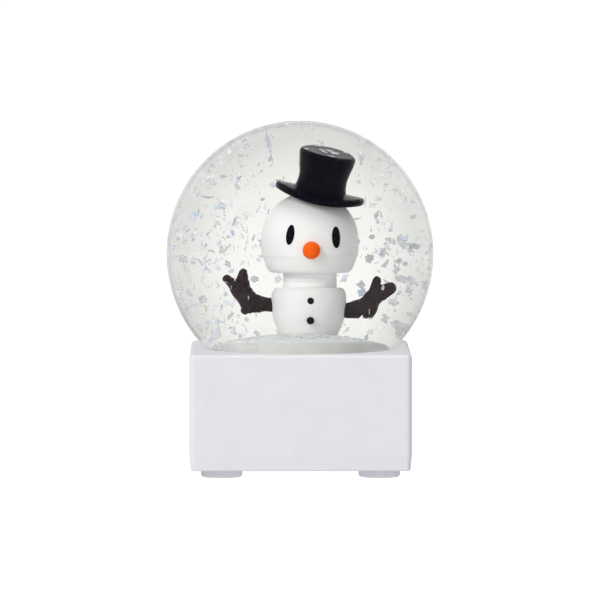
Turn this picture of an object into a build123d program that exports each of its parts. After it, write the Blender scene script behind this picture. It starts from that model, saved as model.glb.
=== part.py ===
from build123d import *

import math
import os
import random

# A snow globe: a glass ball of liquid and glitter seated in a square cast block,
# with a small snowman on a snow mound inside. Millimetres, +Z up, front towards -Y.
# The origin is at the bottom centre, in the plane of the four foot pads.

# Driving dimensions
BALL_R = 32.5
WALL = 2.0
BLOCK_SIDE = 53.5
BLOCK_H = 28.0
PAD_R = 5.0
PAD_H = 1.9
BALL_Z = 52.7
FIGURE_X = 1.8

# Foot pads and block
PAD_PITCH = 38.0
PAD_ROUND = 0.7
BLOCK_TOP = PAD_H + BLOCK_H
CORNER_R = 1.4
TOP_EDGE_R = 0.9
BOTTOM_EDGE_R = 0.5
SKIRT_H = 4.0
SKIRT_TAPER = 5.0
BORE_R = 20.9
SEAT_GAP = 0.15
COVER_R = 21.6
COVER_T = 1.6
COVER_GAP = 0.1

# Mouth of the ball and what closes it
NECK_OUT_R = 20.0
NECK_IN_R = NECK_OUT_R - WALL
LIP_Z = 23.0
BOND_LOW = 25.0
BOND_HIGH = BLOCK_TOP - 0.5
STOPPER_LOW = 20.6
STOPPER_TOP = 28.6
STOPPER_CORE_R = NECK_IN_R - 0.3
RIB_H = 0.8
RELIEF_R = 14.0
RELIEF_H = 5.0
SEAL_LOW = 21.4
SEAL_HIGH = 24.6
SEAL_OUT_R = BORE_R - 0.1

# Snow mound: a shallow spherical cap on a round plug
MOUND_R = 17.5
MOUND_TOP = 38.0
MOUND_CAP_R = 46.0
MOUND_EDGE_R = 1.0

# Snowman, from the mound up
BODY_X = FIGURE_X - 0.2
BODY_LOW = 37.6
BODY_TOP = 46.6
BODY_LOW_R = 5.15
BODY_R = 6.8
BODY_SHOULDER_R = 5.7
HEAD_LOW = 49.3
NECK_R = 4.75
NECK_RINGS = 3
RING_BULGE = 0.16
DOME_Z = 55.2
DOME_R = 8.87
HEAD_BASE_R = 6.5
NOSE_R = 1.75
NOSE_AT = (2.2, -9.2, 53.95)
PAINT_OUT = 0.08
PAINT_IN = 0.25
EYE_W = 1.55
BUTTON_R = 0.74
BUTTON_X = BODY_X + 0.4
BUTTON_SINK = 0.35
BUTTON_HEIGHTS = {"upper": 44.0, "lower": 40.1}

# Top hat, in its own frame: origin at the brim's middle, axis tilted to the right
HAT_TILT = 12.0
HAT_LEAN_BACK = 6.5
BRIM_R = 8.35
BRIM_T = 1.5
BRIM_DIP = 1.6
CROWN_WAIST_R = 4.5
CROWN_TOP_R = 5.45
CROWN_H = 8.15
CROWN_EDGE_R = 0.75

# Arms: limbs of the moulded branches as (start, end), each end (x, z, radius)
ARM_LEFT = [
    ((-4.4, 43.3, 0.95), (-6.2, 43.5, 1.1)),
    ((-6.2, 43.5, 1.1), (-9.2, 43.9, 1.7)),
    ((-9.2, 43.6, 1.5), (-10.2, 42.3, 0.65)),
    ((-9.2, 43.9, 1.7), (-11.2, 46.3, 1.4)),
    ((-11.2, 46.3, 1.4), (-13.6, 48.2, 0.6)),
    ((-10.7, 46.3, 1.4), (-10.5, 49.3, 0.65)),
]
ARM_RIGHT = [
    ((7.7, 42.3, 1.0), (10.4, 42.6, 1.5)),
    ((10.4, 42.6, 1.5), (12.6, 43.0, 1.7)),
    ((12.4, 42.3, 1.2), (13.0, 41.95, 0.8)),
    ((12.4, 43.3, 1.6), (14.0, 45.2, 1.35)),
    ((13.8, 45.0, 1.25), (14.2, 47.8, 0.6)),
    ((14.0, 45.1, 1.3), (16.9, 46.3, 1.0)),
]
ARM_T = 2.7

# Glitter: thin film cuttings adrift in the liquid
FLAKE_T = 0.08
FLAKE_CLEAR = 0.4
FLAKE_HALF_LEAST = 0.36
FLAKE_HALF_SPREAD = 0.50
FLAKES_ADRIFT = {"silver": 400, "lilac": 225, "blue": 190, "clear": 140, "gold": 45}
FLAKES_ON_MOUND = 90
FLAKES_ON_HAT = 9

# Share of flakes by height (up to this height, share), then by place round the figure
SNOW_BY_HEIGHT = [(42.0, 1.0), (58.0, 0.72), (68.0, 0.45), (BALL_Z + BALL_R, 1.0)]
SNOW_RIGHT = 0.7
FACE_HALF = 10.5
SNOW_OVER_FACE = 0.03
ARMS_HALF = 17.0
ARMS_LOW = 40.0
ARMS_HIGH = 51.0
SNOW_OVER_ARMS = 0.1

inner_r = BALL_R - WALL
liquid_r = inner_r - 0.02


def lathe(curves, x=0.0):
    """Turn an outline (radius, height) about the vertical axis that passes through x."""
    face = Plane.XZ * make_face(curves)
    return Pos(x, 0, 0) * revolve(face, Axis.Z)


def sphere_height(radius, r):
    """Height above a sphere's centre at distance r from its axis."""
    return math.sqrt(radius * radius - r * r)


def disc(radius, low, high):
    return Pos(0, 0, low) * Cylinder(radius, high - low, align=(Align.CENTER, Align.CENTER, Align.MIN))


def ring_edges(solid, height):
    """The round edges of a turned solid that lie at one height."""
    return solid.edges().filter_by(GeomType.CIRCLE).filter_by_position(Axis.Z, height, height)


def foot_pad(side_x, side_y):
    pad = disc(PAD_R, 0, PAD_H)
    pad = fillet(ring_edges(pad, 0), PAD_ROUND)
    return Pos(side_x * PAD_PITCH / 2, side_y * PAD_PITCH / 2, 0) * pad


def ball_outside():
    """The ball with its neck as one filled solid."""
    join = BALL_Z - sphere_height(BALL_R, NECK_OUT_R)
    top = BALL_Z + BALL_R
    outline = Line((0, LIP_Z), (NECK_OUT_R, LIP_Z))
    outline += Line((NECK_OUT_R, LIP_Z), (NECK_OUT_R, join))
    outline += ThreePointArc((NECK_OUT_R, join), (BALL_R, BALL_Z), (0, top))
    outline += Line((0, top), (0, LIP_Z))
    return lathe(outline)


def ball_inside():
    """The hollow of the ball, open downwards through the neck."""
    join = BALL_Z - sphere_height(inner_r, NECK_IN_R)
    top = BALL_Z + inner_r
    outline = Line((0, LIP_Z), (NECK_IN_R, LIP_Z))
    outline += Line((NECK_IN_R, LIP_Z), (NECK_IN_R, join))
    outline += ThreePointArc((NECK_IN_R, join), (inner_r, BALL_Z), (0, top))
    outline += Line((0, top), (0, LIP_Z))
    return lathe(outline)


def glass_ball():
    shell = ball_outside() - ball_inside()
    return fillet(ring_edges(shell, LIP_Z), WALL * 0.4)


def seat():
    """Round socket in the block: a ball seat above a straight bore."""
    seat_r = BALL_R + SEAT_GAP
    ball_part = Pos(0, 0, BALL_Z) * Sphere(seat_r)
    return ball_part + disc(BORE_R, PAD_H, BLOCK_TOP - 1)


def base_block():
    skirt_top = PAD_H + SKIRT_H
    square = RectangleRounded(BLOCK_SIDE, BLOCK_SIDE, CORNER_R)
    block = Pos(0, 0, skirt_top) * extrude(square, BLOCK_TOP - skirt_top)
    block += Pos(0, 0, skirt_top) * extrude(square, -SKIRT_H, taper=SKIRT_TAPER)
    block = fillet(block.faces().sort_by(Axis.Z)[-1].edges(), TOP_EDGE_R)
    block = fillet(block.faces().sort_by(Axis.Z)[0].edges(), BOTTOM_EDGE_R)
    block -= seat()
    return block - disc(COVER_R, PAD_H, PAD_H + COVER_T)


def base_cover():
    return disc(COVER_R - COVER_GAP, PAD_H, PAD_H + COVER_T)


def ball_bond():
    """Adhesive that fills the gap between the ball and the block."""
    return (seat() & disc(BLOCK_SIDE / 2, BOND_LOW, BOND_HIGH)) - ball_outside()


def rubber_stopper():
    plug = disc(NECK_OUT_R, STOPPER_LOW, LIP_Z) + disc(STOPPER_CORE_R, LIP_Z, STOPPER_TOP)
    for rib_low in (LIP_Z + RIB_H, LIP_Z + 3 * RIB_H):
        plug += disc(NECK_IN_R, rib_low, rib_low + RIB_H)
    return plug - disc(RELIEF_R, STOPPER_LOW, STOPPER_LOW + RELIEF_H)


def stopper_seal():
    """Silicone bead run round the outside of the joint between flange and lip."""
    middle = (SEAL_LOW + SEAL_HIGH) / 2
    outline = Line((NECK_OUT_R, SEAL_LOW), (NECK_OUT_R, SEAL_HIGH))
    outline += ThreePointArc((NECK_OUT_R, SEAL_HIGH), (SEAL_OUT_R, middle), (NECK_OUT_R, SEAL_LOW))
    return lathe(outline) - ball_outside() - disc(NECK_OUT_R, STOPPER_LOW, LIP_Z)


def mound_whole():
    cap = Pos(0, 0, MOUND_TOP - MOUND_CAP_R) * Sphere(MOUND_CAP_R)
    mound = disc(MOUND_R, STOPPER_TOP, MOUND_TOP + 1) & cap
    edge_z = MOUND_TOP - MOUND_CAP_R + sphere_height(MOUND_CAP_R, MOUND_R)
    return fillet(ring_edges(mound, edge_z), MOUND_EDGE_R)


def body_whole():
    outline = Line((0, BODY_LOW), (BODY_LOW_R, BODY_LOW))
    outline += Spline(
        (BODY_LOW_R, BODY_LOW),
        (BODY_R - 0.5, 40.5),
        (BODY_R, 43.8),
        (BODY_SHOULDER_R, BODY_TOP),
        tangents=[(0.35, 1), (-1, 0.1)],
    )
    outline += Line((BODY_SHOULDER_R, BODY_TOP), (0, BODY_TOP))
    outline += Line((0, BODY_TOP), (0, BODY_LOW))
    return lathe(outline, BODY_X)


def snowman_neck():
    ring_h = (HEAD_LOW - BODY_TOP) / NECK_RINGS
    outline = Line((0, BODY_TOP), (NECK_R, BODY_TOP))
    for ring in range(NECK_RINGS):
        low = BODY_TOP + ring * ring_h
        middle = (NECK_R + RING_BULGE, low + ring_h / 2)
        outline += ThreePointArc((NECK_R, low), middle, (NECK_R, low + ring_h))
    outline += Line((NECK_R, HEAD_LOW), (0, HEAD_LOW))
    outline += Line((0, HEAD_LOW), (0, BODY_TOP))
    return lathe(outline, FIGURE_X)


def head_whole():
    outline = Line((0, HEAD_LOW), (HEAD_BASE_R, HEAD_LOW))
    outline += Spline(
        (HEAD_BASE_R, HEAD_LOW),
        (7.7, 50.0),
        (8.5, 52.0),
        (DOME_R, DOME_Z),
        tangents=[(1, 0), (0, 1)],
    )
    outline += CenterArc((0, DOME_Z), DOME_R, 0, 90)
    outline += Line((0, DOME_Z + DOME_R), (0, HEAD_LOW))
    return lathe(outline, FIGURE_X)


def nose_ball():
    return Pos(*NOSE_AT) * Sphere(NOSE_R)


def painted_eye(x, z, width, height, lean):
    """Oval of thick paint that lies in the head's dome and stands a little proud."""
    at = Pos(FIGURE_X, 0, DOME_Z)
    layer = at * Sphere(DOME_R + PAINT_OUT) - at * Sphere(DOME_R - PAINT_IN)
    oval = Plane.XZ * Rot(0, 0, lean) * Ellipse(width / 2, height / 2)
    return layer & (Pos(x, 0, z) * extrude(oval, DOME_R + 1))


def eye_left():
    return painted_eye(-1.96, 56.9, EYE_W, 3.95, -10)


def eye_right():
    return painted_eye(7.0, 56.35, EYE_W, 4.2, 3)


def button(height):
    return Pos(BUTTON_X, BUTTON_SINK - BODY_R, height) * Sphere(BUTTON_R)


def limb(start, end):
    """A tapered limb with round ends, in the plane y = 0."""
    x0, z0, r0 = start
    x1, z1, r1 = end
    run = Vector(x1 - x0, 0, z1 - z0)
    along = Plane(origin=(x0, 0, z0), z_dir=run)
    up = (Align.CENTER, Align.CENTER, Align.MIN)
    if abs(r0 - r1) < 1e-6:
        bone = along * Cylinder(r0, run.length, align=up)
    else:
        bone = along * Cone(r0, r1, run.length, align=up)
    return bone + Pos(x0, 0, z0) * Sphere(r0) + Pos(x1, 0, z1) * Sphere(r1)


def arm(limbs):
    """The limbs joined, with front and back flattened as on a moulded branch."""
    whole = limb(*limbs[0])
    for start, end in limbs[1:]:
        whole += limb(start, end)
    return whole & Box(4 * BALL_R, ARM_T, 4 * BALL_R)


def hat_place():
    """Where the middle of the brim sits: on the dome, out along the tilted axis."""
    lean = math.radians(HAT_TILT)
    reach = DOME_R + 0.1
    x = FIGURE_X + reach * math.sin(lean)
    z = DOME_Z + reach * math.cos(lean)
    return Pos(x, 0, z) * Rot(0, HAT_TILT, 0) * Rot(-HAT_LEAN_BACK, 0, 0)


def hat_brim():
    """A round brim bent so that its front and back edges hang below its sides."""
    half = BRIM_T / 2
    reach = BRIM_R + 1
    drop = BRIM_DIP * (reach / BRIM_R) ** 2
    top = ThreePointArc((-reach, half - drop), (0, half), (reach, half - drop))
    low = ThreePointArc((-reach, -half - drop), (0, -half), (reach, -half - drop))
    sides = Line((-reach, half - drop), (-reach, -half - drop))
    sides += Line((reach, half - drop), (reach, -half - drop))
    bent = extrude(Plane.YZ * make_face(top + low + sides), reach, both=True)
    brim = bent & disc(BRIM_R, -BRIM_R, BRIM_R)
    rim = [edge for edge in brim.edges() if edge.length > BRIM_R]
    return fillet(rim, half * 0.85)


def hat_crown():
    foot = (CROWN_WAIST_R + 0.5, 0)
    outline = Line((0, 0), foot)
    outline += Spline(
        foot,
        (CROWN_WAIST_R, 2.6),
        (CROWN_TOP_R - 0.35, 5.8),
        (CROWN_TOP_R, CROWN_H),
        tangents=[(-0.3, 1), (0.12, 1)],
    )
    outline += Line((CROWN_TOP_R, CROWN_H), (0, CROWN_H))
    outline += Line((0, CROWN_H), (0, 0))
    crown = lathe(outline)
    return fillet(ring_edges(crown, CROWN_H), CROWN_EDGE_R)


def hat_whole():
    return hat_place() * (hat_brim() + hat_crown())


def flake_blank(rng, half):
    """One irregular cutting of film, three to six corners, flat on its own XY plane."""
    corners = rng.choice([3, 4, 4, 4, 5, 6])
    narrow = rng.uniform(0.55, 1.0)
    points = []
    for corner in range(corners):
        turn = 2 * math.pi * (corner + rng.uniform(-0.15, 0.15)) / corners
        reach = half * rng.uniform(0.8, 1.0)
        points.append((reach * math.cos(turn), narrow * reach * math.sin(turn)))
    return extrude(make_face(Polyline(*points, close=True)), FLAKE_T / 2, both=True)


def flake_half(rng):
    """Half the length of a flake: many small ones and a few large."""
    return FLAKE_HALF_LEAST + FLAKE_HALF_SPREAD * rng.random() ** 2


def swept_band(piece):
    """Heights that a still piece takes up, and how far it reaches from the ball's axis."""
    box = piece.bounding_box()
    reach = math.hypot(max(abs(box.min.X), abs(box.max.X)), max(abs(box.min.Y), abs(box.max.Y)))
    return box.min.Z, box.max.Z, reach


def snow_share(x, y, z):
    """How readily a flake is left at a place: thick at the left and low, thin over the figure."""
    share = next(part for top, part in SNOW_BY_HEIGHT if z < top)
    if x > 0:
        share *= SNOW_RIGHT
    if y < 0 and abs(x - FIGURE_X) < FACE_HALF:
        share *= SNOW_OVER_FACE
    if y < 0 and abs(x - FIGURE_X) < ARMS_HALF and ARMS_LOW < z < ARMS_HIGH:
        share *= SNOW_OVER_ARMS
    return share


def clear_of(band, r, height, near):
    """Whether a place at radius r and this height keeps the distance near from a band."""
    low, high, reach = band
    return height + near < low or height - near > high or r - near > reach


def drifting_flake(rng, bands):
    """A flake at a random place in the liquid that misses every band at any turn."""
    while True:
        half = flake_half(rng)
        limit = liquid_r - half - FLAKE_CLEAR
        x, y, z = (rng.uniform(-limit, limit) for axis in range(3))
        if x * x + y * y + z * z > limit * limit or rng.random() > snow_share(x, y, z + BALL_Z):
            continue
        r = math.hypot(x, y)
        near = half + FLAKE_CLEAR
        height = z + BALL_Z
        if all(clear_of(band, r, height, near) for band in bands):
            turn = Rot(rng.uniform(0, 180), rng.uniform(0, 180), rng.uniform(0, 180))
            return Pos(x, y, height) * turn * flake_blank(rng, half)


def flakes_adrift(rng, count, bands):
    return Compound(children=[drifting_flake(rng, bands) for flake in range(count)])


def flakes_on_mound(rng, inner_reach):
    """Settled flakes that lie flat on the dome of the mound, clear of the body."""
    settled = []
    for flake in range(FLAKES_ON_MOUND):
        half = 0.7 * flake_half(rng)
        r = rng.uniform(inner_reach + 1, MOUND_R - 2)
        lean = math.degrees(math.asin(r / MOUND_CAP_R))
        lift = Pos(0, 0, MOUND_CAP_R + FLAKE_T)
        turn = Rot(0, 0, rng.uniform(0, 360)) * Rot(0, lean, 0)
        settled.append(Pos(0, 0, MOUND_TOP - MOUND_CAP_R) * turn * lift * flake_blank(rng, half))
    return Compound(children=settled)


def flakes_on_hat(rng):
    """Settled flakes that lie on the flat top of the crown, each in its own place."""
    settled = []
    for flake in range(FLAKES_ON_HAT):
        turn = 2 * math.pi * flake / FLAKES_ON_HAT
        r = (0.25 + 0.55 * (flake % 2)) * CROWN_TOP_R
        at = Pos(r * math.cos(turn), r * math.sin(turn), CROWN_H + FLAKE_T)
        spin = Rot(0, 0, rng.uniform(0, 360))
        settled.append(hat_place() * at * spin * flake_blank(rng, 0.6 * flake_half(rng) + 0.2))
    return Compound(children=settled)


def liquid_fill(contents):
    """The liquid above the stopper, around everything that stands still in it."""
    ball = Pos(0, 0, BALL_Z) * Sphere(liquid_r)
    liquid = ball & disc(BALL_R, STOPPER_TOP + 0.02, BALL_Z + BALL_R)
    for piece in contents:
        liquid -= piece
    return liquid


def write(name, shape):
    shape.label = name
    export_step(shape, f"parts/{name}.step")


def main():
    os.makedirs("parts", exist_ok=True)
    rng = random.Random(5)

    for name_y, side_y in (("front", -1), ("back", 1)):
        for name_x, side_x in (("left", -1), ("right", 1)):
            write(f"foot_pad_{name_y}_{name_x}", foot_pad(side_x, side_y))
    write("base_block", base_block())
    write("base_cover", base_cover())
    write("glass_ball", glass_ball())
    write("ball_bond", ball_bond())
    write("rubber_stopper", rubber_stopper())
    write("stopper_seal", stopper_seal())

    body = body_whole()
    head = head_whole()
    arms = {"left": arm(ARM_LEFT) - body, "right": arm(ARM_RIGHT) - body}
    face = {"nose_ball": nose_ball(), "eye_left": eye_left(), "eye_right": eye_right()}
    buttons = {f"button_{place}": button(height) for place, height in BUTTON_HEIGHTS.items()}
    neck = snowman_neck()
    hat = hat_whole() - head
    mound = mound_whole()
    hat_flakes = flakes_on_hat(rng)

    write("snow_mound", mound - body)
    write("snowman_body", body - list(buttons.values()))
    write("snowman_neck", neck)
    write("snowman_head", head - list(face.values()))
    write("top_hat", hat)
    for side, branch in arms.items():
        write(f"arm_{side}", branch)
    for name, piece in (face | buttons).items():
        write(name, piece)
    write("flakes_on_hat", hat_flakes)

    figure = [body, neck, head, hat, *arms.values(), *face.values(), *buttons.values()]
    write("liquid_fill", liquid_fill([mound, *figure, *hat_flakes.solids()]))

    bands = [swept_band(piece) for piece in (*figure, hat_flakes)]
    bands.append((STOPPER_TOP, MOUND_TOP, MOUND_R))
    bands.append((STOPPER_LOW, STOPPER_TOP, BALL_R))
    for tint, count in FLAKES_ADRIFT.items():
        write(f"flakes_{tint}", flakes_adrift(rng, count, bands))
    write("flakes_on_mound", flakes_on_mound(rng, swept_band(body)[2]))


main()
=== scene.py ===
import math

import bmesh
import bpy
import numpy as np
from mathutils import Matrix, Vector, noise


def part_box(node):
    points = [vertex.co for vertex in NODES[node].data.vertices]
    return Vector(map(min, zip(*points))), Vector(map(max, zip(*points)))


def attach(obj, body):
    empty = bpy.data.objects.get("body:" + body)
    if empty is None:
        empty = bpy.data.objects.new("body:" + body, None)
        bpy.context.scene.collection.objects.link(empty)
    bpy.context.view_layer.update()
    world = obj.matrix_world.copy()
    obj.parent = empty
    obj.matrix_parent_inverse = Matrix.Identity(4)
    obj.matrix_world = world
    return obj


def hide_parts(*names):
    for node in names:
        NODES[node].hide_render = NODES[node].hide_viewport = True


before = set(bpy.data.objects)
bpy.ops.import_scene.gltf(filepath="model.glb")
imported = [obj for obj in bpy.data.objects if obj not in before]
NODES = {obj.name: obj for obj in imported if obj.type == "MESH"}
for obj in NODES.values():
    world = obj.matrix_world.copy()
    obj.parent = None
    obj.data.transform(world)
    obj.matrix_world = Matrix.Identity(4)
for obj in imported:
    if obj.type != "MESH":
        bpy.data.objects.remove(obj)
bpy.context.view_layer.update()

MM = 0.001
GLOBE = "globe"
SWIRL = "snow_swirl_body"

# Sizes read from the frame
ball_low, ball_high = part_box("glass_ball")
liquid_low, liquid_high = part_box("liquid_fill")
BALL_R = round((ball_high.x - ball_low.x) / 2 / MM, 1) * MM
BALL_Z = ball_high.z - BALL_R
NECK_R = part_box("rubber_stopper")[1].x
LIQUID_R = liquid_high.z - BALL_Z
WALL = 2.0 * MM
INNER_R = BALL_R - WALL

# How finely the glass and the liquid are cut
GLASS_STEPS = 256
GLASS_ARC = 150
WALL_ARC = 140
LIP_ARC = 6
LIQUID_STEPS = 192
LIQUID_ARC = 120

# Film flakes
FLAKE_T = 0.06 * MM
FLAKE_LEAST = 0.26 * MM
FLAKE_CURL = 0.4
FLAKE_LEAST_CURL = 0.3
SETTLED_CURL = 0.05
HAT_FLAKE_GROW = 1.5
FLAKES_WITHIN = INNER_R - 0.15 * MM
FLAKE_CORNERS = [4, 4, 5, 6]
FLAKE_CORNER_SHIFT = 0.18
FLAKE_CORNER_REACH = 0.75
FLAKE_NARROWEST = 0.78
FLAKE_TEAR = 0.86
FLAKE_MIDDLE_RING = 0.55

# Arms
ARM_VOXEL = 0.16 * MM
ARM_SMOOTH = 0.6
ARM_SMOOTH_STEPS = 14
ARM_SWELL = 0.26
ARM_SWELL_SCALE = 0.42
ARM_RIDGE_SCALE = (0.8, 2.6, 0.8)
ARM_INWARD = 0.15

# How much each material bends light; what is in the liquid bends it less than it would in air
IOR_GLASS = 1.5
IOR_LIQUID = 1.34
IOR_PAINT = 1.52
FINE_GRAIN = 2600.0

# Camera
LENS = 429.3
CAMERA_AT = (-0.01035, -1.7395, 0.1502)
CAMERA_AIM = (0.0, 0.0, 0.0415)

# Studio light
TABLE_RINGS = (0.1, 0.4, 1.5, 8.0)
FLOOR_GLOW = 1.0
FLOOR_LIGHT = 0.76
WORLD_GLOW = 1.05
WORLD_FILL = 0.29
LIT_POINT = (0.0, 0.0, 0.045)
KEY_POWER = 15.0
TOP_POWER = 8.0
FILL_POWER = 2.9
# How bright the table and the surround are in what the globe mirrors: low, high, and
# the depths, from the front to the back, between which they rise
FLOOR_MIRROR = (0.22, 0.7, 0.02, 0.35)
WORLD_MIRROR = (0.02, 0.75, 0.1, 0.95)
# Where light that the ball bends hard leaves it, from its axis and above the table; the painted shade
# in the glass is laid out from here
LEAVES_BALL_Y = 0.031
LEAVES_BALL_Z = 0.0587
# Painted shade for the glass: greys that the bent light meets, by how nearly it runs along the line
# from front to back, which give the ball its grey rim and soft inner shading
BENT_SHADE_GREYS = [(0.40, 0.90), (0.49, 0.52), (0.58, 0.75), (0.80, 0.79), (0.90, 0.88), (0.985, 1.01)]
BENT_SHADE_STOPS = [(at, (grey, grey, grey * 0.98)) for at, grey in BENT_SHADE_GREYS]


# ---------------------------------------------------------------- node trees

class Tree:
    """The node tree of a material or a world, with short calls for the nodes that are used here."""

    def __init__(self, owner, out="ShaderNodeOutputMaterial"):
        self.owner = owner
        owner.use_nodes = True
        self.tree = owner.node_tree
        self.tree.nodes.clear()
        self.out = self.add(out)

    def add(self, kind, **settings):
        node = self.tree.nodes.new(kind)
        for key, value in settings.items():
            setattr(node, key, value)
        return node

    def link(self, source, target):
        self.tree.links.new(source, target)

    def shader(self, kind, colour=None, strength=None):
        node = self.add(kind)
        if colour is not None:
            node.inputs["Color"].default_value = (*colour, 1.0)
        if strength is not None:
            node.inputs["Strength"].default_value = strength
        return node

    def principled(self, **sockets):
        shader = self.add("ShaderNodeBsdfPrincipled")
        for name, value in sockets.items():
            shader.inputs[name.replace("_", " ")].default_value = value
        return shader

    def place(self, output="Object"):
        return self.add("ShaderNodeTexCoord").outputs[output]

    def split(self, vector):
        node = self.add("ShaderNodeSeparateXYZ")
        self.link(vector, node.inputs[0])
        return node.outputs

    def maths(self, operation, source, value=0.0):
        node = self.add("ShaderNodeMath", operation=operation)
        node.inputs[1].default_value = value
        self.link(source, node.inputs[0])
        return node.outputs[0]

    def noise(self, scale, detail=4.0, roughness=0.5, vector=None):
        node = self.add("ShaderNodeTexNoise")
        node.inputs["Scale"].default_value = scale
        node.inputs["Detail"].default_value = detail
        node.inputs["Roughness"].default_value = roughness
        self.link(vector or self.place(), node.inputs["Vector"])
        return node.outputs["Fac"]

    def stretched(self, stretch):
        node = self.add("ShaderNodeMapping")
        node.inputs["Scale"].default_value = stretch
        self.link(self.place(), node.inputs["Vector"])
        return node.outputs["Vector"]

    def ramp(self, factor, stops):
        node = self.add("ShaderNodeValToRGB")
        elements = node.color_ramp.elements
        while len(elements) < len(stops):
            elements.new(0.5)
        for element, (at, colour) in zip(elements, stops):
            element.position = at
            element.color = (*colour, 1.0)
        self.link(factor, node.inputs["Fac"])
        return node.outputs["Color"]

    def spread(self, factor, low, high, start=0.3, end=0.7, blend="LINEAR"):
        node = self.add("ShaderNodeMapRange", interpolation_type=blend)
        for name, value in (("From Min", start), ("From Max", end), ("To Min", low), ("To Max", high)):
            node.inputs[name].default_value = value
        self.link(factor, node.inputs["Value"])
        return node.outputs["Result"]

    def bump(self, height, strength, depth, below=None):
        node = self.add("ShaderNodeBump")
        node.inputs["Strength"].default_value = strength
        node.inputs["Distance"].default_value = depth
        self.link(height, node.inputs["Height"])
        if below is not None:
            self.link(below, node.inputs["Normal"])
        return node.outputs["Normal"]

    def by_ray(self, shader, others):
        """One shader for what is seen, and others for the kinds of ray named; later kinds win."""
        path = self.add("ShaderNodeLightPath")
        for ray, other in others:
            mix = self.add("ShaderNodeMixShader")
            self.link(path.outputs[ray], mix.inputs[0])
            self.link(shader.outputs[0], mix.inputs[1])
            self.link(other.outputs[0], mix.inputs[2])
            shader = mix
        return shader

    def finish(self, shader):
        self.link(shader.outputs[0], self.out.inputs["Surface"])
        return self.owner


def material_tree(name):
    return Tree(bpy.data.materials.new(name))


# ---------------------------------------------------------------- paints, rubbers and mouldings

def mottled(name, stops, rough, grain, grain_depth, extra=None, wet=False, **sockets):
    """A paint, rubber or moulding: cloudy colour, uneven gloss and a fine grain."""
    t = material_tree(name)
    shader = t.principled(**sockets)
    if wet:
        shader.inputs["IOR"].default_value = IOR_PAINT / IOR_LIQUID
    clouds = t.noise(grain, 5.0, 0.6)
    t.link(t.ramp(clouds, stops), shader.inputs["Base Color"])
    t.link(t.spread(clouds, *rough), shader.inputs["Roughness"])
    normal = t.bump(t.noise(FINE_GRAIN, 3.0, 0.6), 0.6, grain_depth)
    if extra is not None:
        normal = extra(t, normal)
    t.link(normal, shader.inputs["Normal"])
    return t.finish(shader)


def resin_paint():
    """Matt spray paint on cast resin: a whisper of orange peel, faintly cool white."""
    def peel(t, below):
        return t.bump(t.noise(700.0, 2.0, 0.4), 0.35, 0.00004, below)

    return mottled(
        "resin_paint",
        [(0.3, (0.785, 0.77, 0.805)), (0.7, (0.815, 0.80, 0.835))],
        (0.52, 0.62), 160.0, 0.00001, peel,
    )


def snowman_paint():
    return mottled(
        "snowman_paint",
        [(0.3, (0.90, 0.90, 0.90)), (0.7, (0.93, 0.93, 0.925))],
        (0.34, 0.42), 420.0, 0.000004,
        wet=True,
    )


def snow_with_painted_shade():
    def drift(t, below):
        return t.bump(t.noise(900.0, 4.0, 0.65), 0.5, 0.00006, below)

    return mottled(
        "snow_with_painted_shade",
        # Light grey-green, below the snowman's white: the snow's own white with painted shade from the
        # dim light low in the ball
        [(0.3, (0.62, 0.645, 0.63)), (0.7, (0.71, 0.73, 0.715))],
        (0.45, 0.6), 300.0, 0.00001, drift,
        wet=True,
    )


def nose_paint():
    return mottled(
        "nose_paint",
        [(0.3, (1.0, 0.115, 0.006)), (0.7, (1.0, 0.145, 0.010))],
        (0.42, 0.5), 700.0, 0.000005,
        wet=True,
    )


def black_paint():
    return mottled(
        "black_paint",
        [(0.3, (0.001, 0.001, 0.004)), (0.7, (0.003, 0.003, 0.008))],
        (0.32, 0.42), 900.0, 0.000004,
        wet=True,
    )


def hat_plastic():
    return mottled(
        "hat_plastic",
        [(0.3, (0.0005, 0.0005, 0.0026)), (0.7, (0.0012, 0.0012, 0.0048))],
        (0.15, 0.22), 500.0, 0.000003,
        IOR=1.145,
    )


def branch_plastic():
    """Dark brown moulding with shallow lengthwise ridges, like bark."""
    def bark(t, below):
        ridges = t.noise(900.0, 3.0, 0.6, t.stretched((0.45, 1.0, 0.45)))
        return t.bump(ridges, 0.7, 0.0002, below)

    return mottled(
        "branch_plastic",
        [(0.3, (0.014, 0.007, 0.009)), (0.7, (0.028, 0.015, 0.018))],
        (0.18, 0.30), 600.0, 0.00001, bark,
        IOR=1.28, Sheen_Weight=0.35, Sheen_Roughness=0.25, Sheen_Tint=(0.75, 0.22, 0.12, 1.0),
    )


def pad_rubber():
    return mottled(
        "pad_rubber",
        [(0.3, (0.72, 0.71, 0.78)), (0.7, (0.78, 0.77, 0.84))],
        (0.5, 0.62), 500.0, 0.00001,
    )


def hidden_rubber():
    return mottled(
        "stopper_rubber",
        [(0.3, (0.52, 0.53, 0.50)), (0.7, (0.60, 0.60, 0.57))],
        (0.55, 0.7), 400.0, 0.00002,
    )


def silicone():
    return mottled(
        "silicone_bead",
        [(0.3, (0.72, 0.72, 0.70)), (0.7, (0.80, 0.80, 0.78))],
        (0.25, 0.4), 500.0, 0.00001,
    )


def adhesive():
    return mottled(
        "adhesive_cured",
        [(0.3, (0.70, 0.68, 0.60)), (0.7, (0.80, 0.78, 0.70))],
        (0.2, 0.35), 600.0, 0.00001,
    )


def foam_cover():
    def cells(t, below):
        node = t.add("ShaderNodeTexVoronoi")
        node.inputs["Scale"].default_value = FINE_GRAIN
        t.link(t.place(), node.inputs["Vector"])
        return t.bump(node.outputs["Distance"], 0.5, 0.00008, below)

    return mottled(
        "foam_cover",
        [(0.3, (0.66, 0.66, 0.67)), (0.7, (0.74, 0.74, 0.75))],
        (0.75, 0.88), 300.0, 0.00003, cells,
    )


# ---------------------------------------------------------------- glass, liquid and film

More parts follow.
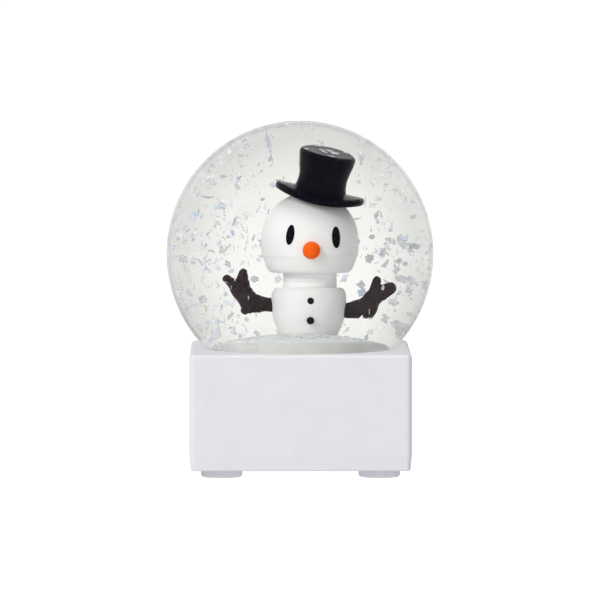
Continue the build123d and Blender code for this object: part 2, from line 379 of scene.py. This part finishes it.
def clear_for_lamps(t, shader, colour):
    """Lets light that falls on what is inside the ball pass straight through the surface."""
    clear = t.shader("ShaderNodeBsdfTransparent", colour)
    return t.finish(t.by_ray(shader, (("Is Diffuse Ray", clear), ("Is Shadow Ray", clear))))


def blown_glass(name, ior):
    """Clear glass; the faintest ripple, as blown glass has."""
    t = material_tree(name)
    shader = t.principled(Transmission_Weight=1.0, Roughness=0.0, IOR=ior)
    shader.inputs["Base Color"].default_value = (1.0, 1.0, 0.995, 1.0)
    ripple = t.bump(t.noise(45.0, 1.0, 0.3), 0.05, 0.00004)
    t.link(ripple, shader.inputs["Normal"])
    return clear_for_lamps(t, shader, (0.99, 0.99, 0.985))


def clear_liquid():
    """The liquid's own skin bends nothing: the glass's inner wall already bends light into it."""
    t = material_tree("clear_liquid")
    shader = t.principled(Transmission_Weight=1.0, Roughness=0.0, IOR=1.0)
    shader.inputs["Base Color"].default_value = (1.0, 1.0, 1.0, 1.0)
    absorb = t.add("ShaderNodeVolumeAbsorption")
    absorb.inputs["Color"].default_value = (0.95, 0.95, 0.92, 1.0)
    absorb.inputs["Density"].default_value = 3.0
    t.link(absorb.outputs[0], t.out.inputs["Volume"])
    return clear_for_lamps(t, shader, (1.0, 1.0, 1.0))


# Tints of the film cuttings, and how opaque each kind is
FILMS = {
    "silver": (
        [
            (0.0, (0.60, 0.62, 0.68)),
            (0.35, (0.76, 0.78, 0.83)),
            (0.7, (0.95, 0.96, 0.99)),
            (1.0, (1.0, 1.0, 1.0)),
        ],
        0.56,
    ),
    "lilac": ([(0.0, (0.64, 0.62, 0.72)), (0.5, (0.82, 0.80, 0.90)), (1.0, (0.98, 0.97, 1.0))], 0.52),
    "blue": ([(0.0, (0.50, 0.64, 0.86)), (0.3, (0.70, 0.79, 0.92)), (1.0, (0.93, 0.96, 1.0))], 0.54),
    "clear": ([(0.0, (0.84, 0.85, 0.89)), (1.0, (1.0, 1.0, 1.0))], 0.45),
    "gold": (
        [
            (0.0, (0.92, 0.72, 0.46)),
            (0.4, (0.96, 0.90, 0.70)),
            (0.7, (0.60, 0.74, 0.95)),
            (1.0, (0.90, 0.92, 0.98)),
        ],
        0.6,
    ),
}


def film(name, tints, opaque):
    """Iridescent film: each cutting has its own tint, and a thin coat that shifts with angle."""
    t = material_tree(name)
    shader = t.principled(Roughness=0.16, Alpha=opaque, Specular_IOR_Level=0.9)
    shader.inputs["Thin Film Thickness"].default_value = 380.0
    shader.inputs["Thin Film IOR"].default_value = 1.7
    island = t.add("ShaderNodeNewGeometry").outputs["Random Per Island"]
    t.link(t.ramp(island, tints), shader.inputs["Base Color"])
    crumple = t.bump(t.noise(1500.0, 2.0, 0.5), 0.5, 0.00005)
    t.link(crumple, shader.inputs["Normal"])
    return t.finish(shader)


def dress(material, *nodes):
    """Gives CAD nodes their material."""
    for node in nodes:
        slots = NODES[node].data.materials
        slots.clear()
        slots.append(material)


# ---------------------------------------------------------------- mesh helpers

def link_new(name, data):
    """A new object for this data, in the scene."""
    thing = bpy.data.objects.new(name, data)
    bpy.context.scene.collection.objects.link(thing)
    return thing


def new_piece(name, mesh, body, replaced):
    """A piece that rides on a body and stands for one CAD node."""
    piece = link_new(name, mesh)
    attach(piece, body)
    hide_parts(replaced)


def turned_mesh(name, outline, steps):
    """A surface of revolution about the ball's axis from (radius, height, material index) points."""
    bm = bmesh.new()
    rings = []
    for r, z, _ in outline:
        if r < 1e-9:
            rings.append([bm.verts.new((0, 0, z))])
            continue
        turns = [2 * math.pi * k / steps for k in range(steps)]
        rings.append([bm.verts.new((r * math.cos(a), r * math.sin(a), z)) for a in turns])
    for low, high, (_, _, index) in zip(rings, rings[1:], outline[1:]):
        for k in range(steps):
            j = (k + 1) % steps
            corners = [low[k % len(low)], low[j % len(low)], high[j % len(high)], high[k % len(high)]]
            face = bm.faces.new(list(dict.fromkeys(corners)))
            face.smooth = True
            face.material_index = index
    bmesh.ops.recalc_face_normals(bm, faces=bm.faces)
    mesh = bpy.data.meshes.new(name)
    bm.to_mesh(mesh)
    bm.free()
    return mesh


def arc(radius, end, count, index):
    """Points on a circle round the ball's centre, from straight up to the angle end."""
    turns = [end * k / count for k in range(count + 1)]
    return [(radius * math.sin(a), BALL_Z + radius * math.cos(a), index) for a in turns]


# ---------------------------------------------------------------- glass and liquid

def make_glass_ball():
    """The blown ball with its neck: outer skin, rounded lip, inner wall."""
    neck_in = NECK_R - WALL
    lip = ball_low.z
    bead = WALL / 2
    out_end = math.pi - math.asin(NECK_R / BALL_R)
    in_end = math.pi - math.asin(neck_in / INNER_R)
    outline = arc(BALL_R, out_end, GLASS_ARC, 0)
    outline.append((NECK_R, lip + 2 * bead, 0))
    for k in range(LIP_ARC + 1):
        a = math.pi * k / LIP_ARC
        outline.append((NECK_R - bead + bead * math.cos(a), lip + bead - bead * math.sin(a), 0))
    outline.append((neck_in, lip + 2 * bead, 1))
    outline += reversed(arc(INNER_R, in_end, WALL_ARC, 1))
    mesh = turned_mesh("glass_ball_blown", outline, GLASS_STEPS)
    mesh.materials.append(blown_glass("glass_outer_skin", IOR_GLASS))
    mesh.materials.append(blown_glass("glass_inner_wall", IOR_GLASS / IOR_LIQUID))
    new_piece("glass_ball_blown", mesh, GLOBE, "glass_ball")


def make_liquid():
    """The liquid's outer surface, a hair inside the glass, down to the top of the stopper."""
    floor_z = liquid_low.z
    end = math.pi - math.acos((BALL_Z - floor_z) / LIQUID_R)
    outline = arc(LIQUID_R, end, LIQUID_ARC, 0)
    outline.append((0.0, floor_z, 0))
    mesh = turned_mesh("liquid_body", outline, LIQUID_STEPS)
    mesh.materials.append(clear_liquid())
    new_piece("liquid_body", mesh, SWIRL, "liquid_fill")


# ---------------------------------------------------------------- flakes

def islands(node):
    """The vertex coordinates of each separate solid of a CAD node."""
    bm = bmesh.new()
    bm.from_mesh(NODES[node].data)
    bmesh.ops.remove_doubles(bm, verts=bm.verts, dist=1e-6)
    bm.verts.ensure_lookup_table()
    seen = set()
    found = []
    for start in bm.verts:
        if start.index in seen:
            continue
        group, queue = [], [start]
        seen.add(start.index)
        while queue:
            v = queue.pop()
            group.append(tuple(v.co))
            for edge in v.link_edges:
                other = edge.other_vert(v)
                if other.index not in seen:
                    seen.add(other.index)
                    queue.append(other)
        found.append(np.array(group))
    bm.free()
    return found


def flake_frame(points):
    """Centre, in-plane axes, normal and half length of one flat cutting."""
    centre = (points.min(axis=0) + points.max(axis=0)) / 2
    _, _, axes = np.linalg.svd(points - points.mean(axis=0))
    half = float(np.abs((points - centre) @ axes[0]).max())
    return centre, *axes, half


def torn_outline(rng, half):
    """The uneven corners of a cutting, with a small tear between each two."""
    corners = int(rng.choice(FLAKE_CORNERS))
    narrow = rng.uniform(FLAKE_NARROWEST, 1.0)
    start = rng.uniform(0, 2 * math.pi)
    outline = []
    for k in range(corners):
        shift = rng.uniform(-FLAKE_CORNER_SHIFT, FLAKE_CORNER_SHIFT)
        turn = start + 2 * math.pi * (k + shift) / corners
        reach = half * rng.uniform(FLAKE_CORNER_REACH, 1.0)
        outline.append((reach * math.cos(turn), narrow * reach * math.sin(turn)))
    rim = []
    for k, (x, y) in enumerate(outline):
        nx, ny = outline[(k + 1) % corners]
        jag = rng.uniform(FLAKE_TEAR, 1.0)
        rim += [(x, y), ((x + nx) / 2 * jag, (y + ny) / 2 * jag)]
    return rim


def curled_flake(bm, rng, centre, axes, half, curl):
    """One cutting of film, curled about a line across it."""
    u, v, normal = axes
    rim = torn_outline(rng, half)
    lean = rng.uniform(0, math.pi)
    bend = curl * rng.uniform(FLAKE_LEAST_CURL, 1.0) * rng.choice([-1, 1]) / half
    middle_ring = [(FLAKE_MIDDLE_RING * x, FLAKE_MIDDLE_RING * y) for x, y in rim]
    rings = [[(0.0, 0.0)], middle_ring, rim]

    def vertex(x, y, side):
        across = x * math.cos(lean) + y * math.sin(lean)
        place = centre + u * x + v * y + normal * (bend * across * across + side * FLAKE_T / 2)
        return bm.verts.new(place)

    sheets = [[[vertex(x, y, side) for x, y in ring] for ring in rings] for side in (1, -1)]
    count = len(rim)
    for (hub, middle, edge), flip in zip(sheets, (False, True)):
        for k in range(count):
            j = (k + 1) % count
            for face in ((hub[0], middle[k], middle[j]), (middle[k], edge[k], edge[j], middle[j])):
                bm.faces.new(face[::-1] if flip else face).smooth = True
    top, bottom = sheets[0][2], sheets[1][2]
    for k in range(count):
        j = (k + 1) % count
        bm.faces.new((top[k], bottom[k], bottom[j], top[j]))


def kept_inside(centre, half):
    """The centre, moved in towards the ball's where the cutting would meet the glass."""
    middle = np.array((0.0, 0.0, BALL_Z))
    out = centre - middle
    reach = float(np.linalg.norm(out))
    limit = FLAKES_WITHIN - half
    return middle + out * (limit / reach) if reach > limit else centre


def make_flakes(node, material, body, curl, seed, grow=1.0):
    """Crisp curled cuttings where the frame has its plain flat ones."""
    rng = np.random.default_rng(seed)
    bm = bmesh.new()
    for points in islands(node):
        centre, *axes, half = flake_frame(points)
        half = FLAKE_LEAST + grow * half
        curled_flake(bm, rng, kept_inside(centre, half), axes, half, curl)
    mesh = bpy.data.meshes.new(f"{node}_cut")
    bm.to_mesh(mesh)
    bm.free()
    mesh.materials.append(material)
    new_piece(f"{node}_cut", mesh, body, node)


# ---------------------------------------------------------------- arms

def softened(node):
    """A CAD node's mesh as one skin, its creases rounded off."""
    rough = link_new(f"{node}_raw", NODES[node].data.copy())
    remesh = rough.modifiers.new("voxels", "REMESH")
    remesh.mode = "VOXEL"
    remesh.voxel_size = ARM_VOXEL
    smooth = rough.modifiers.new("soften", "SMOOTH")
    smooth.factor = ARM_SMOOTH
    smooth.iterations = ARM_SMOOTH_STEPS
    depsgraph = bpy.context.evaluated_depsgraph_get()
    soft = bpy.data.meshes.new_from_object(rough.evaluated_get(depsgraph))
    bpy.data.objects.remove(rough)
    return soft


def make_arm(node, material, shift, seed):
    """The moulded branch: the frame's limbs softened into one limb, with knobs and ridges."""
    soft = softened(node)
    for vertex in soft.vertices:
        at = vertex.co / MM
        swell = noise.noise(at * ARM_SWELL_SCALE + Vector((seed, 0, 0)))
        ridge = noise.noise(at * Vector(ARM_RIDGE_SCALE) + Vector((0, 0, seed)))
        out = ARM_SWELL * (1 + swell + ridge)
        vertex.co += vertex.normal * out * MM + Vector((shift, 0.0, 0.0)) * MM
    for face in soft.polygons:
        face.use_smooth = True
    soft.name = f"{node}_moulded"
    soft.materials.clear()
    soft.materials.append(material)
    new_piece(f"{node}_moulded", soft, GLOBE, node)


# ---------------------------------------------------------------- stage

def aim_at(thing, target):
    """Turns a camera or a lamp to face a point."""
    away = Vector(target) - thing.location
    thing.rotation_euler = away.to_track_quat("-Z", "Y").to_euler()


def make_camera():
    data = bpy.data.cameras.new("view")
    data.lens = LENS
    data.sensor_width = 36.0
    data.clip_start = 0.05
    data.clip_end = 50.0
    camera = link_new("view", data)
    camera.location = CAMERA_AT
    aim_at(camera, CAMERA_AIM)
    bpy.context.scene.camera = camera


def stage_glow():
    """Opal acrylic lit from below: evenly white to look at, and dimmer in places once it is bent,
    which is painted shade that gives the glass its grey rim and soft inner shading.
    """
    t = material_tree("stage_acrylic")
    paper = t.principled(Roughness=0.9, Specular_IOR_Level=0.0, Emission_Strength=FLOOR_GLOW)
    paper.inputs["Emission Color"].default_value = (1.0, 1.0, 1.0, 1.0)
    grain = t.ramp(t.noise(40.0, 3.0, 0.5), [(0.3, (0.19, 0.19, 0.19)), (0.7, (0.21, 0.21, 0.21))])
    t.link(grain, paper.inputs["Base Color"])

    spot = t.split(t.place())
    past_ball = t.maths("SUBTRACT", t.maths("ABSOLUTE", spot["Y"]), LEAVES_BALL_Y)
    from_ball = t.add("ShaderNodeCombineXYZ")
    t.link(spot["X"], from_ball.inputs["X"])
    t.link(t.maths("MAXIMUM", past_ball), from_ball.inputs["Y"])
    from_ball.inputs["Z"].default_value = -LEAVES_BALL_Z
    toward = t.add("ShaderNodeVectorMath", operation="NORMALIZE")
    t.link(from_ball.outputs[0], toward.inputs[0])
    # Painted shade: bent light sees the table in greys, for the glass's grey rim and soft inner
    # shading
    bent = t.add("ShaderNodeEmission")
    t.link(t.ramp(t.split(toward.outputs[0])["Y"], BENT_SHADE_STOPS), bent.inputs["Color"])

    mirrored = t.add("ShaderNodeEmission")
    t.link(t.spread(spot["Y"], *FLOOR_MIRROR), mirrored.inputs["Strength"])
    lit = t.shader("ShaderNodeEmission", strength=FLOOR_LIGHT)
    # Bent light is also flagged as glossy, so transmission comes last
    rays = (("Is Diffuse Ray", lit), ("Is Glossy Ray", mirrored), ("Is Transmission Ray", bent))
    return t.finish(t.by_ray(paper, rays))


def make_stage():
    """A wide round table top of opal acrylic, level with the foot pads."""
    outline = [(0.0, 0.0, 0)] + [(radius, 0.0, 0) for radius in TABLE_RINGS]
    mesh = turned_mesh("table_top", outline, steps=64)
    mesh.materials.append(stage_glow())
    link_new("table_top", mesh)


def area_light(name, at, size, power):
    """A soft lamp that lights the globe and isn't seen in it."""
    data = bpy.data.lights.new(name, "AREA")
    data.shape = "RECTANGLE"
    data.size, data.size_y = size
    data.energy = power
    light = link_new(name, data)
    light.location = at
    aim_at(light, LIT_POINT)
    light.visible_glossy = False
    light.visible_transmission = False
    light.visible_camera = False


def make_world():
    """White behind and before the globe, dim for what only mirrors, painted shade in greys for what
    the ball bends, a low even light for the rest.
    """
    world = bpy.data.worlds.new("studio")
    t = Tree(world, "ShaderNodeOutputWorld")
    seen = t.shader("ShaderNodeBackground", (1.0, 1.0, 1.0), WORLD_GLOW)
    lit = t.shader("ShaderNodeBackground", (0.97, 0.98, 1.0), WORLD_FILL)
    mirrored = t.shader("ShaderNodeBackground", (1.0, 1.0, 1.0))
    # Painted shade: what the ball bends sees the surround in greys by depth, for the glass's grey rim
    # and soft inner shading
    bent = t.shader("ShaderNodeBackground", strength=1.0)
    depth = t.split(t.place("Generated"))["Y"]
    t.link(t.spread(depth, *WORLD_MIRROR, blend="SMOOTHSTEP"), mirrored.inputs["Strength"])
    t.link(t.ramp(t.maths("ABSOLUTE", depth), BENT_SHADE_STOPS), bent.inputs["Color"])
    # Bent light is also flagged as glossy, so transmission comes after it
    rays = (("Is Glossy Ray", mirrored), ("Is Transmission Ray", bent), ("Is Diffuse Ray", lit))
    t.finish(t.by_ray(seen, rays))
    bpy.context.scene.world = world


def make_light():
    make_world()
    area_light("key_left", (-0.95, -1.1, 0.85), (0.6, 0.6), KEY_POWER)
    area_light("front_fill", (0.5, -1.6, 0.25), (0.8, 0.5), FILL_POWER)
    area_light("top_soft", (0.0, 0.1, 1.5), (1.0, 1.0), TOP_POWER)


def set_light_paths():
    """Enough bounces for light to pass the glass, the liquid and many flakes."""
    scene = bpy.context.scene
    scene.view_settings.view_transform = "Standard"
    cycles = scene.cycles
    cycles.max_bounces = 24
    cycles.diffuse_bounces = 5
    cycles.glossy_bounces = 6
    cycles.transmission_bounces = 20
    cycles.transparent_max_bounces = 48
    cycles.caustics_reflective = False
    cycles.caustics_refractive = True


# ---------------------------------------------------------------- build

make_camera()
make_stage()
make_light()
set_light_paths()

dress(resin_paint(), "base_block")
dress(foam_cover(), "base_cover")
dress(adhesive(), "ball_bond")
dress(hidden_rubber(), "rubber_stopper")
dress(silicone(), "stopper_seal")
dress(pad_rubber(), *(node for node in NODES if node.startswith("foot_pad_")))
dress(snowman_paint(), "snowman_body", "snowman_neck", "snowman_head")
dress(snow_with_painted_shade(), "snow_mound")
dress(nose_paint(), "nose_ball")
dress(black_paint(), "eye_left", "eye_right", "button_upper", "button_lower")
dress(hat_plastic(), "top_hat")

branch = branch_plastic()
make_arm("arm_left", branch, shift=ARM_INWARD, seed=3.0)
make_arm("arm_right", branch, shift=-ARM_INWARD, seed=8.0)

films = {tint: film(f"film_{tint}", *FILMS[tint]) for tint in FILMS}
for seed, (tint, material) in enumerate(films.items()):
    make_flakes(f"flakes_{tint}", material, SWIRL, FLAKE_CURL, seed)
make_flakes("flakes_on_mound", films["silver"], SWIRL, SETTLED_CURL, seed=11)
make_flakes("flakes_on_hat", films["silver"], GLOBE, SETTLED_CURL, 12, HAT_FLAKE_GROW)

make_glass_ball()
make_liquid()
